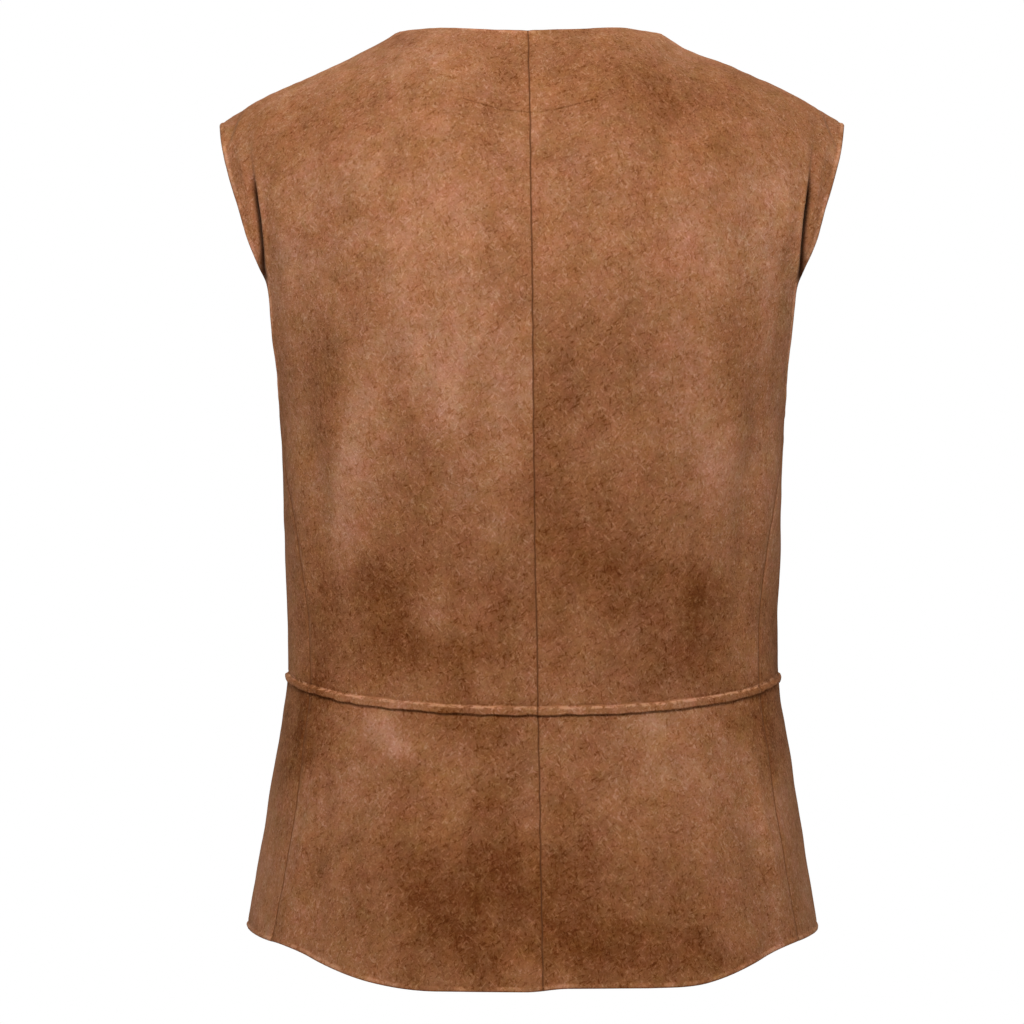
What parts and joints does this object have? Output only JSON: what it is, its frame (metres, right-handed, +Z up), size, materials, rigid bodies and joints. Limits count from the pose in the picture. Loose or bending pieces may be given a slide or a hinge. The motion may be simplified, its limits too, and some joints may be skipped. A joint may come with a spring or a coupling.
{
  "type": "renaissance vest",
  "caption": "Sleeveless suede-look vest filled out as worn, with a V neck, a lapped waist seam and a short flared skirt.",
  "frame": {"origin": "level with the tops of the shoulder seams at the neck, midway between them, where the wearer's shoulders carry the vest", "axes": "+Z up, +X the wearer's left, -Y the wearer's front"},
  "size_m": [0.46, 0.2655, 0.6888],
  "materials": {
    "suede": "brushed matt suede cloth"
  },
  "bodies": {
    "root": {"back_bodice_left": "suede", "back_bodice_right": "suede", "back_skirt_left": "suede", "back_skirt_right": "suede", "front_bodice_left": "suede", "front_bodice_right": "suede", "front_skirt_left": "suede", "front_skirt_right": "suede"}
  },
  "joints": []
}
